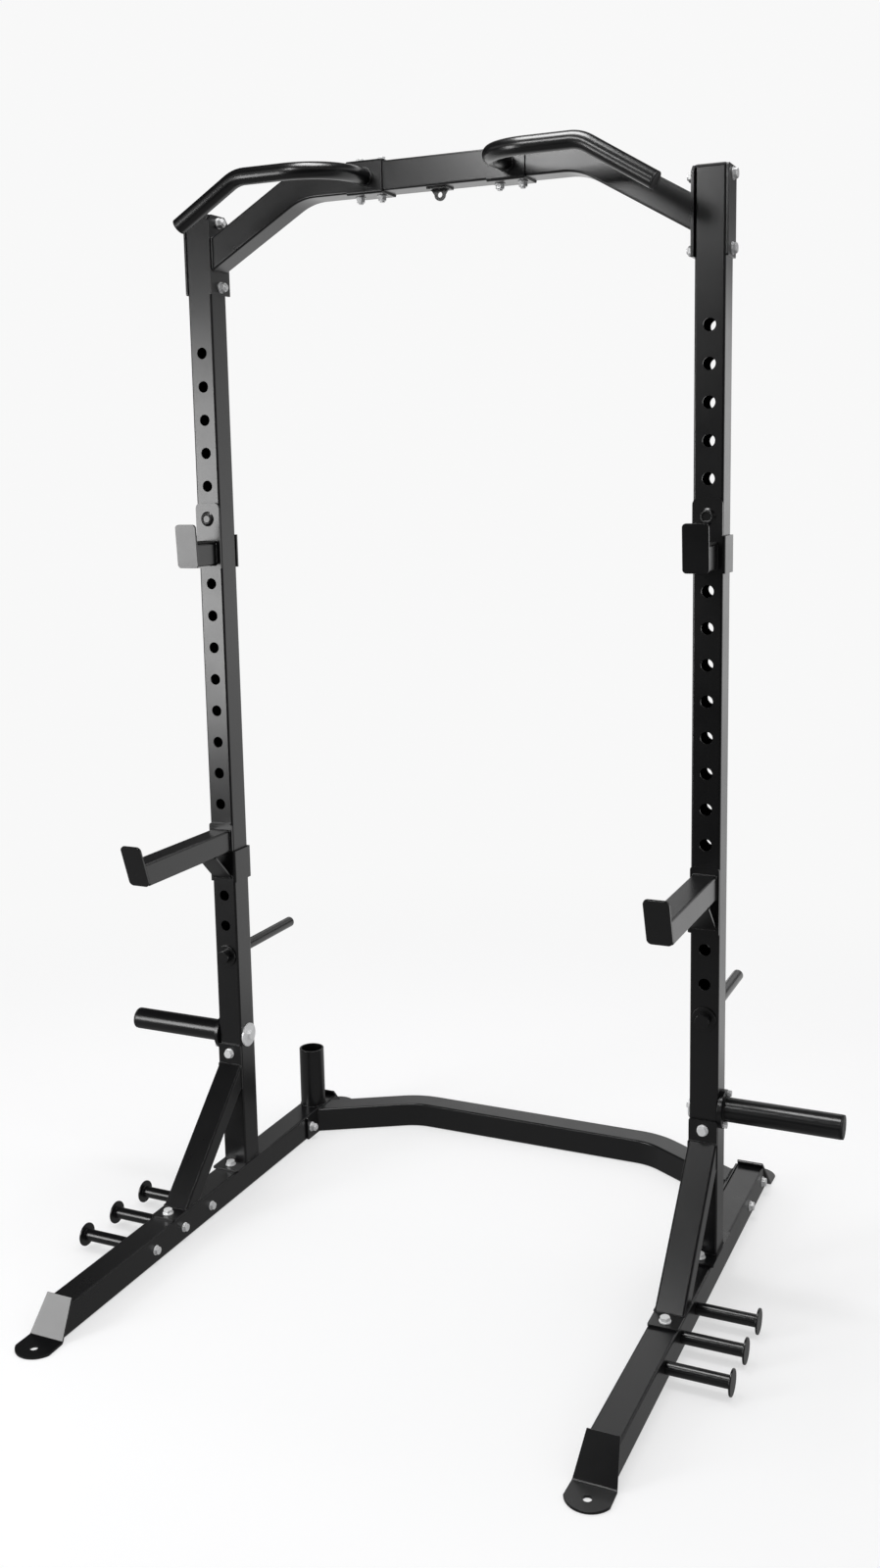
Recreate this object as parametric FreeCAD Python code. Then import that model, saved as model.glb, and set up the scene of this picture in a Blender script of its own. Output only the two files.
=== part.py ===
import FreeCAD, Part
import math
import os
from FreeCAD import Vector

os.makedirs("parts", exist_ok=True)

# A half rack of bolted square steel tube: two floor rails, two uprights, a cranked top beam,
# a pair of bar hooks and a pair of spotter arms. Sizes are in millimetres. The origin is on
# the floor, midway between the rails and at the middle of their length. X points to the
# right, Y to the back and Z up. A size that carries a side is measured on the right-hand one,
# and the left-hand piece is its mirror image.

# Tube and plate stock
tube = 60.0
wall = 3.0
tube_corner_share = 1.5
bore_corner_share = 0.5
plate = 5.0
plate_corner = 4.0
overrun = 10.0

# Where the frame stands
rail_spacing = 1140.0
base_length = 1317.0
upright_inset = 522.0
rear_end = base_length / 2
upright_set_back = rear_end - upright_inset
rail_x = rail_spacing / 2
inner_x = rail_x - tube / 2
outer_x = rail_x + tube / 2
front_y = upright_set_back - tube / 2
back_y = upright_set_back + tube / 2

# Feet: a bent plate over each mitred rail end
foot_tab = 68.0
foot_run = 47.0
foot_top = 72.0
foot_bend_radius = 4.0
foot_bend_width = 80.0
foot_tab_width = 82.0
foot_tip_depth = 27.0
foot_hole_radius = 8.0
foot_hole_inset = 32.0
foot_tip = -rear_end
foot_slope = math.atan2(foot_top - plate, foot_run)

# Uprights and their caps
upright_top = 2240.0
hole_radius = 12.5
hole_pitch = 72.5
lowest_hole = 574.5
top_hole_drop = 288.0
hook_hole_count_down = 5
spotter_hole_count_up = 4
hole_count = round((upright_top - top_hole_drop - lowest_hole) / hole_pitch) + 1
cap_rim = 5.0
cap_plug = 4.0
cap_gap = 0.2
cap_plug_wall = 2.0

# Plate under each upright
base_plate_width = 70.0
base_plate_length = 148.0
base_plate_bolt_reach = 50.0
upright_bottom = tube + plate

# Braces between rail and upright
brace_rise = 316.0
brace_run = 316.0
brace_depth = 40.0
brace_heel = 4.0
brace_toe = 47.0
brace_bolt_toe = 26.0

# Rear crossmember
crossmember_inset = 52.0
crossmember_crank = 215.0
crossmember_angle = 30.0
crossmember_bend_radius = 150.0
end_plate_length = 160.0
end_plate_height = tube
end_plate_shift = 9.0
end_plate_bolt_reach = 63.0
crossmember_y = rear_end - crossmember_inset
crossmember_apex = inner_x - plate - crossmember_crank

# Bar post on the left rail
bar_post_inset = 174.0
bar_post_bore_radius = 26.5
bar_post_wall = 5.0
bar_post_height = 150.0
bar_post_y = rear_end - bar_post_inset

# Band pegs along the rails
rail_peg_count = 3
rail_peg_lead = 182.0
rail_peg_pitch = 108.0
rail_peg_radius = 12.5
rail_peg_length = 121.0
rail_peg_disc_radius = 25.0
rail_peg_disc = 4.0
rail_peg_thread = 28.0
rail_peg_first_y = upright_set_back - rail_peg_lead

# Band pegs through the lowest upright holes
band_peg_tail = 230.0
band_peg_head_radius = 14.5
band_peg_head = 16.0
band_washer_radius = 25.0
band_washer = 4.0

# Plate horns
horn_z = 375.0
horn_radius = 25.0
horn_wall = 3.0
horn_length = 236.0
horn_flange_radius = 40.0
horn_flange = 9.0
horn_screw_angle = 57.0
horn_screw_circle = (horn_radius + horn_flange_radius) / 2
horn_screw_y = horn_screw_circle * math.cos(math.radians(horn_screw_angle))
horn_screw_z = horn_screw_circle * math.sin(math.radians(horn_screw_angle))
horn_cap = 5.0
horn_cap_plug = 15.0
horn_cap_step = 0.5
horn_washer_radius = 27.5
horn_washer = 4.0

# Top beam: centre tube, sleeves and cranked arms
sleeve_x = 157.0
sleeve_length = 82.0
sleeve_wall = 3.7
sleeve_gap = 0.3
sleeve_bolt_reach = 25.0
arm_apex = 316.0
arm_angle = 30.0
arm_bend_radius = 150.0
arm_plate = 6.0
arm_plate_width = 76.0
arm_plate_height = 168.0
arm_plate_chamfer = 12.0
arm_bolt_reach = 68.0
arm_bolt_drop = 10.9
arm_run = inner_x - arm_plate - arm_apex
arm_end_z = upright_top - arm_bolt_drop - arm_bolt_reach
beam_z = arm_end_z + arm_run * math.tan(math.radians(arm_angle))
sleeve_side = tube + (sleeve_gap + sleeve_wall) * 2

# Hanging lug under the middle of the beam
lug_flange_width = 45.0
lug_flange_depth = 36.0
lug_flange = 4.0
lug_tab = 5.0
lug_tab_width = 38.0
lug_hole_drop = 14.0
lug_hole_radius = 5.5
lug_tip_radius = 12.0

# Pull-up handles
handle_radius = 17.0
handle_wall = 2.5
handle_reach = 187.0
handle_dip = 7.0
handle_root_bend = 100.0
handle_apex = 367.0
handle_end_x = 507.0
handle_droop_angle = 31.0
handle_end_bend = 70.0
handle_cap = 4.0
handle_cap_plug = 14.0

# What the bar hooks and the spotter arms share: pin, bent bracket and running gaps
pin_gap = 0.1
pin_tail = 6.0
bracket_gap = 0.4
bracket_low = 110.0
bracket_high = 37.0
bracket_bend_radius = 1.0
pin_radius = hole_radius - pin_gap
bracket_back_y = front_y - bracket_gap
bracket_front_y = bracket_back_y - plate

# Bar hooks
hook_plate_top = 35.5
hook_strip_past = 2.0
hook_plate_corner = 12.0
hook_pin_ring_radius = 16.5
hook_pin_ring = 4.0
cradle_width = 40.0
cradle_height = 50.0
cradle_drop = 102.5
hook_reach = 79.0
hook_pad = 4.0
lip_width = 52.0
lip_height = 95.0
lip_lean_angle = 3.6
lip_corner = 8.0
lip_below = 2.0

# Spotter arms
spotter_plate_top = 27.5
spotter_strip_short = 3.0
spotter_plate_corner = 6.0
spotter_side = 50.0
spotter_drop = 37.5
spotter_reach = 310.0
tip_height = 96.0
tip_lean_angle = 18.0
tip_corner = 10.0
strap_run = 64.0
strap_drop = 63.0

# Bolts, nuts and washers
bolt_radius = 6.0
bolt_flats = 18.0
bolt_head = 7.5
bolt_hole_gap = 0.5
bolt_tail = 3.0
nut_height = 10.8
washer_radius = 12.0
washer = 2.5
slim_bolt_radius = 5.0
slim_bolt_flats = 16.0
slim_bolt_head = 6.4
slim_nut_height = 8.4
slim_washer_radius = 10.5
slim_washer = 2.0
peg_bolt_reach = 22.0
screw_radius = 3.0
screw_flats = 12.0
screw_head = 8.0
screw_tail = 4.0
thread_gap = 0.1
bolt_hole_radius = bolt_radius + bolt_hole_gap
slim_hole_radius = slim_bolt_radius + bolt_hole_gap
full_size = (bolt_radius, bolt_flats, bolt_head, nut_height, washer_radius, washer)
slim_size = (slim_bolt_radius, slim_bolt_flats, slim_bolt_head, slim_nut_height,
             slim_washer_radius, slim_washer)

# Directions and fixed points
same_point = 1e-6
origin = Vector(0, 0, 0)
along_x = Vector(1, 0, 0)
along_y = Vector(0, 1, 0)
along_z = Vector(0, 0, 1)


# Building blocks

def outline(points, radii):
    """A closed wire through the points, with each corner rounded to its own radius."""
    corners = []
    for index, point in enumerate(points):
        arriving = (point - points[index - 1]).normalize()
        leaving = (points[(index + 1) % len(points)] - point).normalize()
        half_turn = arriving.getAngle(leaving) / 2
        setback = radii[index] * math.tan(half_turn)
        inward = (leaving - arriving).normalize()
        middle = point + inward * (radii[index] / math.cos(half_turn) - radii[index])
        corners.append((point - arriving * setback, middle, point + leaving * setback))
    edges = []
    for index, (start, middle, end) in enumerate(corners):
        last_end = corners[index - 1][2]
        if not last_end.isEqual(start, same_point):
            edges.append(Part.LineSegment(last_end, start).toShape())
        if radii[index]:
            edges.append(Part.Arc(start, middle, end).toShape())
    return Part.Wire(edges)


def sheet(points, radii, push):
    """A flat piece of the given outline, as thick as the push is long."""
    return Part.Face(outline(points, radii)).extrude(push)


def rectangle(centre, across, up, width, height, radius):
    """The outline of a rectangle with rounded corners, in the plane of two directions."""
    half_across = across * (width / 2)
    half_up = up * (height / 2)
    points = [centre - half_across - half_up, centre + half_across - half_up,
              centre + half_across + half_up, centre - half_across + half_up]
    return outline(points, [radius] * len(points))


def tube_face(centre, across, up, width, height, thickness):
    """The cross-section of a rectangular tube with rounded corners."""
    outer = rectangle(centre, across, up, width, height, thickness * tube_corner_share)
    inner_width = width - thickness * 2
    inner_height = height - thickness * 2
    inner = rectangle(centre, across, up, inner_width, inner_height, thickness * bore_corner_share)
    return Part.Face(outer).cut(Part.Face(inner)).Faces[0]


def ring_face(centre, axis, radius, thickness):
    """The cross-section of a round tube."""
    outer = Part.Face(Part.Wire(Part.Circle(centre, axis, radius).toShape()))
    inner = Part.Face(Part.Wire(Part.Circle(centre, axis, radius - thickness).toShape()))
    return outer.cut(inner).Faces[0]


def bent(face, points, radii):
    """Carries a cross-section from the first point to the last, rounding the bends between."""
    solids = []
    place = points[0]
    for index in range(1, len(points)):
        heading = (points[index] - points[index - 1]).normalize()
        setback = 0
        if index < len(points) - 1:
            turned = (points[index + 1] - points[index]).normalize()
            angle = heading.getAngle(turned)
            setback = radii[index - 1] * math.tan(angle / 2)
        run = points[index] - heading * setback - place
        solids.append(face.extrude(run))
        face = face.translated(run)
        place = place + run
        if setback:
            axis = heading.cross(turned).normalize()
            centre = place + axis.cross(heading) * radii[index - 1]
            solids.append(face.revolve(centre, axis, math.degrees(angle)))
            face = face.rotated(centre, axis, math.degrees(angle))
            place = points[index] + turned * setback
    return solids[0].fuse(solids[1:]).removeSplitter().Solids[0]


def box(low, high):
    """A block between two opposite corners."""
    size = high - low
    return Part.makeBox(size.x, size.y, size.z, low)


def rod(start, axis, radius, length):
    """A round bar from its start along an axis."""
    return Part.makeCylinder(radius, length, start, axis)


def disc_with_hole(start, axis, radius, hole, thickness):
    """A washer-like ring."""
    return rod(start, axis, radius, thickness).cut(rod(start, axis, hole, thickness))


def mirrored(shape):
    """The left-hand copy of a right-hand piece."""
    return shape.mirror(origin, along_x)


def pair(shape):
    """A right-hand piece and its left-hand copy."""
    return [shape, mirrored(shape)]


def turned_to(shape, place, axis):
    """Stands a shape made at the origin along Z on a place, pointing along an axis."""
    moved = shape.copy()
    moved.Placement = FreeCAD.Placement(place, FreeCAD.Rotation(along_z, axis))
    return moved


def hole_z(steps):
    """The height of an upright's hole, so many steps above the lowest one."""
    return lowest_hole + hole_pitch * steps


# Fasteners

def hexagon(flats, height):
    """A hexagonal block with its top corners turned down."""
    corner = flats / math.sqrt(3)
    points = []
    for index in range(6):
        angle = math.radians(60 * index)
        points.append(Vector(corner * math.cos(angle), corner * math.sin(angle), 0))
    block = sheet(points, [0] * len(points), along_z * height)
    edge = corner - flats / 2
    turned = rod(origin, along_z, corner, height - edge)
    cone = Part.makeCone(corner, flats / 2, edge, along_z * (height - edge), along_z)
    return block.common(turned.fuse(cone))


def bolt(radius, flats, head, length):
    """A hexagon bolt: its seat is at the origin, the head below it and the shank above."""
    cap = hexagon(flats, head).rotated(origin, along_x, 180)
    return cap.fuse(rod(origin, along_z, radius, length)).removeSplitter()


def nut(radius, flats, height):
    """A hexagon nut that stands on the origin."""
    return hexagon(flats, height).cut(rod(origin, along_z, radius + thread_gap, height))


def small_washer(place, axis, size):
    """A plain washer that stands on a face, away from it along an axis."""
    radius, flats, head, nut_depth, rim, depth = size
    return disc_with_hole(place, axis, rim, radius + bolt_hole_gap, depth)


def through_bolt(seat, drive, grip, size):
    """A bolt of one size through everything between two faces, with two washers and a nut."""
    radius, flats, head, nut_depth, rim, depth = size
    far = seat + drive * grip
    length = grip + depth * 2 + nut_depth + bolt_tail
    shaft = turned_to(bolt(radius, flats, head, length), seat - drive * depth, drive)
    washers = [small_washer(seat, drive * -1, size), small_washer(far, drive, size)]
    return shaft, washers, turned_to(nut(radius, flats, nut_depth), far + drive * depth, drive)


def short_bolt(seat, drive):
    """A bolt through a plate and a tube wall into a nut welded inside the tube."""
    length = washer + plate + wall + nut_height + bolt_tail
    shaft = turned_to(bolt(bolt_radius, bolt_flats, bolt_head, length), seat - drive * washer, drive)
    inside = seat + drive * (plate + wall)
    welded = turned_to(nut(bolt_radius, bolt_flats, nut_height), inside, drive)
    return shaft, small_washer(seat, drive * -1, full_size), welded


# Places of the bolts, which the pieces they join share

def rail_peg_ys():
    """How far back each rail peg stands."""
    return [rail_peg_first_y - rail_peg_pitch * index for index in range(rail_peg_count)]


def base_plate_bolt_ys():
    """How far back the two bolts of an upright's base plate stand."""
    return [upright_set_back - base_plate_bolt_reach, upright_set_back + base_plate_bolt_reach]


def crossmember_end_y():
    """Where the crossmember's centre line meets its end plate."""
    return crossmember_y - crossmember_crank * math.tan(math.radians(crossmember_angle))


def crossmember_bolt_ys():
    """How far back the two bolts of a crossmember end stand."""
    centre = crossmember_end_y() - end_plate_shift
    return [centre - end_plate_bolt_reach, centre + end_plate_bolt_reach]


def arm_bolt_zs():
    """The heights of the two bolts of a top arm's plate."""
    return [arm_end_z - arm_bolt_reach, arm_end_z + arm_bolt_reach]


def sleeve_bolt_xs():
    """How far out the two bolts of a sleeve stand."""
    return [sleeve_x - sleeve_bolt_reach, sleeve_x + sleeve_bolt_reach]


def brace_ends():
    """Where the brace's outer and inner faces meet its two plates, and its two bolts."""
    slant = math.hypot(brace_run, brace_rise)
    top_outer = brace_rise - plate * brace_rise / brace_run
    top_inner = top_outer - brace_depth * slant / brace_run
    low_outer = front_y - brace_run + (tube + plate) * brace_run / brace_rise
    low_inner = low_outer + brace_depth * slant / brace_rise
    return top_outer, top_inner, low_outer, low_inner


def brace_bolt_z():
    """The height of the brace's upper bolt."""
    return brace_ends()[0] + brace_bolt_toe


def brace_bolt_y():
    """How far back the brace's lower bolt stands."""
    return brace_ends()[2] - brace_bolt_toe


# Base

def foot():
    """The front right foot: a plate that covers the rail's sloping end and lies on the floor."""
    bend = foot_tip + foot_tab
    top = bend + foot_run
    side = rail_x - foot_tab_width / 2
    profile = [Vector(side, foot_tip, 0), Vector(side, foot_tip, plate), Vector(side, bend, plate),
               Vector(side, top, foot_top),
               Vector(side, top + plate * math.sin(foot_slope), foot_top - plate * math.cos(foot_slope)),
               Vector(side, bend + plate * math.tan(foot_slope / 2), 0)]
    radii = [0, 0, foot_bend_radius, 0, 0, foot_bend_radius + plate]
    strip = sheet(profile, radii, along_x * foot_tab_width)
    shoulder = foot_tip + foot_tip_depth
    half_tab = foot_tab_width / 2
    plan = [Vector(rail_x + half_tab, shoulder, 0), Vector(rail_x + foot_bend_width / 2, bend, 0),
            Vector(rail_x + tube / 2, top, 0), Vector(rail_x + tube / 2, top + tube, 0),
            Vector(rail_x - tube / 2, top + tube, 0), Vector(rail_x - tube / 2, top, 0),
            Vector(rail_x - foot_bend_width / 2, bend, 0), Vector(rail_x - half_tab, shoulder, 0)]
    edges = [Part.LineSegment(plan[index], plan[index + 1]).toShape() for index in range(len(plan) - 1)]
    edges.append(Part.Arc(plan[-1], Vector(rail_x, foot_tip, 0), plan[0]).toShape())
    outline_block = Part.Face(Part.Wire(edges)).extrude(along_z * foot_top)
    hole = rod(Vector(rail_x, foot_tip + foot_hole_inset, 0), along_z, foot_hole_radius, foot_top)
    return strip.common(outline_block).cut(hole)


def beyond_foot():
    """All that lies past the sloping inner face of the front foot."""
    floor_y = foot_tip + foot_tab + plate * math.tan(foot_slope / 2)
    low_y = floor_y - overrun / math.tan(foot_slope)
    high_y = floor_y + (tube + overrun) / math.tan(foot_slope)
    side = inner_x - overrun
    points = [Vector(side, foot_tip, -overrun), Vector(side, low_y, -overrun),
              Vector(side, high_y, tube + overrun), Vector(side, foot_tip, tube + overrun)]
    return sheet(points, [0] * len(points), along_x * (tube + overrun * 2))


def rail():
    """A floor rail with its mitred ends and its bolt holes."""
    start = Vector(rail_x, foot_tip, tube / 2)
    body = tube_face(start, along_x, along_z, tube, tube, wall).extrude(along_y * base_length)
    cuts = [beyond_foot(), beyond_foot().mirror(origin, along_y)]
    for y in base_plate_bolt_ys() + [brace_bolt_y()]:
        cuts.append(rod(Vector(rail_x, y, tube / 2), along_z, bolt_hole_radius, tube))
    for y in crossmember_bolt_ys():
        cuts.append(rod(Vector(inner_x - overrun, y, tube / 2), along_x, bolt_hole_radius, tube * 2))
    for y in rail_peg_ys():
        cuts.append(rod(Vector(inner_x - overrun, y, tube / 2), along_x, slim_hole_radius, tube * 2))
    return body.cut(cuts).Solids[0]


def base_plate():
    """The plate welded under an upright and bolted to the rail."""
    centre = Vector(rail_x, upright_set_back, tube)
    face = Part.Face(rectangle(centre, along_x, along_y, base_plate_width, base_plate_length, plate_corner))
    body = face.extrude(along_z * plate)
    for y in base_plate_bolt_ys():
        body = body.cut(rod(Vector(rail_x, y, tube), along_z, bolt_hole_radius, plate))
    return body


def brace():
    """The slanting tube from the rail to the upright, cut flush with its two plates."""
    lean = Vector(0, brace_run, brace_rise).normalize()
    inward = Vector(0, brace_rise, -brace_run).normalize()
    low = Vector(rail_x, front_y - brace_run, 0) + inward * (brace_depth / 2) - lean * tube
    length = math.hypot(brace_run, brace_rise) + tube * 2
    body = tube_face(low, along_x, inward, tube, brace_depth, wall).extrude(lean * length)
    corner = Vector(inner_x - overrun, front_y - brace_run * 2, upright_bottom)
    room = box(corner, Vector(outer_x + overrun, front_y - plate, brace_rise * 2))
    return body.common(room).Solids[0]


def brace_plates():
    """The brace's two end plates: one on the upright's front, one on the rail's top."""
    top_outer, top_inner, low_outer, low_inner = brace_ends()
    high_z = top_outer + brace_toe
    low_z = top_inner - brace_heel
    upper_centre = Vector(rail_x, front_y - plate, (high_z + low_z) / 2)
    upper = Part.Face(rectangle(upper_centre, along_x, along_z, tube, high_z - low_z, plate_corner))
    upper_hole = rod(Vector(rail_x, front_y - plate, brace_bolt_z()), along_y, bolt_hole_radius, plate)
    back = low_inner + brace_heel
    front = low_outer - brace_toe
    lower_centre = Vector(rail_x, (back + front) / 2, tube)
    lower = Part.Face(rectangle(lower_centre, along_x, along_y, tube, back - front, plate_corner))
    lower_hole = rod(Vector(rail_x, brace_bolt_y(), tube), along_z, bolt_hole_radius, plate)
    return [upper.extrude(along_y * plate).cut(upper_hole), lower.extrude(along_z * plate).cut(lower_hole)]


def crossmember():
    """The low rear tube, cranked forward at both ends to meet the rails."""
    end_x = inner_x - plate + tube
    end_y = crossmember_end_y() - tube * math.tan(math.radians(crossmember_angle))
    middle_z = tube / 2
    points = [Vector(-end_x, end_y, middle_z), Vector(-crossmember_apex, crossmember_y, middle_z),
              Vector(crossmember_apex, crossmember_y, middle_z), Vector(end_x, end_y, middle_z)]
    heading = (points[1] - points[0]).normalize()
    face = tube_face(points[0], along_z.cross(heading), along_z, tube, tube, wall)
    body = bent(face, points, [crossmember_bend_radius, crossmember_bend_radius])
    limit = inner_x - plate
    room = box(Vector(-limit, -base_length, -overrun), Vector(limit, base_length, tube + overrun))
    return body.common(room).Solids[0]


def end_plate():
    """The plate on a crossmember end, bolted to the rail's side and cut clear of the rear foot."""
    centre_y = crossmember_end_y() - end_plate_shift
    centre = Vector(inner_x - plate, centre_y, end_plate_height / 2)
    face = Part.Face(rectangle(centre, along_y, along_z, end_plate_length, end_plate_height, plate_corner))
    body = face.extrude(along_x * plate).cut(beyond_foot().mirror(origin, along_y))
    for y in crossmember_bolt_ys():
        body = body.cut(rod(Vector(inner_x - plate, y, tube / 2), along_x, bolt_hole_radius, plate))
    return body


def bar_post():
    """The open-topped socket on the left rail that a bar's sleeve stands in."""
    start = Vector(-rail_x, bar_post_y, tube)
    outer_radius = bar_post_bore_radius + bar_post_wall
    return disc_with_hole(start, along_z, outer_radius, bar_post_bore_radius, bar_post_height)


def rail_pegs():
    """The short round pegs on the rail's outer side, drilled for their bolts."""
    pegs = []
    for y in rail_peg_ys():
        start = Vector(outer_x, y, tube / 2)
        bore = rod(start, along_x, slim_bolt_radius + thread_gap, rail_peg_thread)
        pegs.append(rod(start, along_x, rail_peg_radius, rail_peg_length).cut(bore))
    return pegs


def rail_peg_discs():
    """The retaining disc on the end of each rail peg."""
    return [rod(Vector(outer_x + rail_peg_length, y, tube / 2), along_x, rail_peg_disc_radius, rail_peg_disc)
            for y in rail_peg_ys()]


# Uprights

def upright():
    """An upright tube with its column of pin holes and its bolt holes."""
    start = Vector(rail_x, upright_set_back, upright_bottom)
    length = upright_top - upright_bottom
    body = tube_face(start, along_x, along_y, tube, tube, wall).extrude(along_z * length)
    cuts = []
    for steps in range(hole_count):
        place = Vector(rail_x, front_y - overrun, hole_z(steps))
        cuts.append(rod(place, along_y, hole_radius, tube + overrun * 2))
    cuts.append(rod(Vector(rail_x, front_y - overrun, brace_bolt_z()), along_y, bolt_hole_radius, tube / 2))
    for z in arm_bolt_zs() + [horn_z]:
        place = Vector(inner_x - overrun, upright_set_back, z)
        cuts.append(rod(place, along_x, bolt_hole_radius, tube + overrun * 2))
    for side in (-1, 1):
        place = Vector(rail_x, upright_set_back + horn_screw_y * side, horn_z + horn_screw_z * side)
        cuts.append(rod(place, along_x, screw_radius + thread_gap, tube))
    return body.cut(cuts).Solids[0]


def upright_cap():
    """The moulded cap that closes the top of an upright."""
    centre = Vector(rail_x, upright_set_back, upright_top)
    rim = Part.Face(rectangle(centre, along_x, along_y, tube, tube, wall * tube_corner_share))
    plug_side = tube - (wall + cap_gap) * 2
    plug = tube_face(centre, along_x, along_y, plug_side, plug_side, cap_plug_wall)
    return rim.extrude(along_z * cap_rim).fuse(plug.extrude(along_z * -cap_plug)).removeSplitter().Solids[0]


def band_peg():
    """The long peg through the lowest upright hole, with its round head in front."""
    seat = Vector(rail_x, front_y - band_washer, lowest_hole)
    shank = rod(seat, along_y, pin_radius, band_washer + tube + band_peg_tail)
    head = rod(seat, along_y * -1, band_peg_head_radius, band_peg_head)
    return shank.fuse(head).removeSplitter().Solids[0]


def band_peg_washer():
    """The washer between a band peg's head and the upright."""
    place = Vector(rail_x, front_y - band_washer, lowest_hole)
    return disc_with_hole(place, along_y, band_washer_radius, hole_radius, band_washer)


# Plate horns

def horn():
    """The round tube that stored plates slide on."""
    start = Vector(outer_x + horn_flange, upright_set_back, horn_z)
    return ring_face(start, along_x, horn_radius, horn_wall).extrude(along_x * horn_length)


def horn_flange_plate():
    """The round flange that holds a horn against the upright's outer side."""
    start = Vector(outer_x, upright_set_back, horn_z)
    body = disc_with_hole(start, along_x, horn_flange_radius, bolt_hole_radius, horn_flange)
    for side in (-1, 1):
        place = start + Vector(0, horn_screw_y * side, horn_screw_z * side)
        body = body.cut(rod(place, along_x, screw_radius + bolt_hole_gap, horn_flange))
    return body


def horn_end_cap():
    """The moulded cap in the outer end of a horn."""
    start = Vector(outer_x + horn_flange + horn_length, upright_set_back, horn_z)
    rim = rod(start, along_x, horn_radius - horn_cap_step, horn_cap)
    plug_radius = horn_radius - horn_wall - cap_gap
    plug = disc_with_hole(start, along_x * -1, plug_radius, plug_radius - cap_plug_wall, horn_cap_plug)
    return rim.fuse(plug).removeSplitter().Solids[0]


def horn_washer_plate():
    """The large washer on the upright's inner side, under the horn's bolt."""
    start = Vector(inner_x - horn_washer, upright_set_back, horn_z)
    return disc_with_hole(start, along_x, horn_washer_radius, bolt_hole_radius, horn_washer)


def horn_fixings():
    """A horn's long bolt, its welded nut and the two screws of its flange."""
    seat = Vector(inner_x - horn_washer, upright_set_back, horn_z)
    length = horn_washer + tube + horn_flange + nut_height + bolt_tail
    bolts = [turned_to(bolt(bolt_radius, bolt_flats, bolt_head, length), seat, along_x)]
    face = Vector(outer_x + horn_flange, upright_set_back, horn_z)
    for side in (-1, 1):
        place = face + Vector(0, horn_screw_y * side, horn_screw_z * side)
        screw = bolt(screw_radius, screw_flats, screw_head, horn_flange + wall + screw_tail)
        bolts.append(turned_to(screw, place, along_x * -1))
    return bolts, turned_to(nut(bolt_radius, bolt_flats, nut_height), face, along_x)


# Top beam

def centre_tube():
    """The straight tube in the middle of the beam, which butts against the arms in the sleeves."""
    start = Vector(-sleeve_x, upright_set_back, beam_z)
    body = tube_face(start, along_y, along_z, tube, tube, wall).extrude(along_x * (sleeve_x * 2))
    place = sleeve_bolt_xs()[0]
    for x in (-place, place):
        hole = rod(Vector(x, upright_set_back, beam_z - tube), along_z, slim_hole_radius, tube * 2)
        body = body.cut(hole)
    return body.Solids[0]


def sleeve():
    """The square sleeve bolted over the joint of centre tube and arm."""
    start = Vector(sleeve_x - sleeve_length / 2, upright_set_back, beam_z)
    outer = rectangle(start, along_y, along_z, sleeve_side, sleeve_side, sleeve_wall * tube_corner_share)
    bore = rectangle(start, along_y, along_z, tube + sleeve_gap * 2, tube + sleeve_gap * 2,
                     sleeve_wall * bore_corner_share)
    body = Part.Face(outer).cut(Part.Face(bore)).Faces[0].extrude(along_x * sleeve_length)
    for x in sleeve_bolt_xs():
        hole = rod(Vector(x, upright_set_back, beam_z - tube), along_z, slim_hole_radius, tube * 2)
        body = body.cut(hole)
    return body.Solids[0]


def top_arm():
    """The cranked tube from the sleeve down to the upright's inner side."""
    end_x = inner_x - arm_plate + tube
    end_z = arm_end_z - tube * math.tan(math.radians(arm_angle))
    points = [Vector(sleeve_x, upright_set_back, beam_z), Vector(arm_apex, upright_set_back, beam_z),
              Vector(end_x, upright_set_back, end_z)]
    face = tube_face(points[0], along_y, along_z, tube, tube, wall)
    body = bent(face, points, [arm_bend_radius])
    under = Vector(sleeve_bolt_xs()[1], upright_set_back, beam_z - tube)
    hole = rod(under, along_z, slim_hole_radius, tube * 2)
    room = box(Vector(0, front_y - overrun, 0), Vector(inner_x - arm_plate, back_y + overrun, beam_z * 2))
    return body.cut(hole).common(room).Solids[0]


def arm_end_plate():
    """The plate welded to a top arm's end, with its upper corners cut off."""
    low = arm_end_z - arm_plate_height / 2
    high = arm_end_z + arm_plate_height / 2
    near = upright_set_back - arm_plate_width / 2
    far = upright_set_back + arm_plate_width / 2
    x = inner_x - arm_plate
    points = [Vector(x, near, low), Vector(x, far, low), Vector(x, far, high - arm_plate_chamfer),
              Vector(x, far - arm_plate_chamfer, high), Vector(x, near + arm_plate_chamfer, high),
              Vector(x, near, high - arm_plate_chamfer)]
    body = sheet(points, [0] * len(points), along_x * arm_plate)
    for z in arm_bolt_zs():
        body = body.cut(rod(Vector(x, upright_set_back, z), along_x, bolt_hole_radius, arm_plate))
    return body


def backing_plate():
    """The plate on the upright's outer side, under the heads of the arm's bolts."""
    centre = Vector(outer_x, upright_set_back, arm_end_z)
    face = Part.Face(rectangle(centre, along_y, along_z, tube, arm_plate_height, plate_corner))
    body = face.extrude(along_x * plate)
    for z in arm_bolt_zs():
        body = body.cut(rod(Vector(outer_x, upright_set_back, z), along_x, bolt_hole_radius, plate))
    return body


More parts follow.
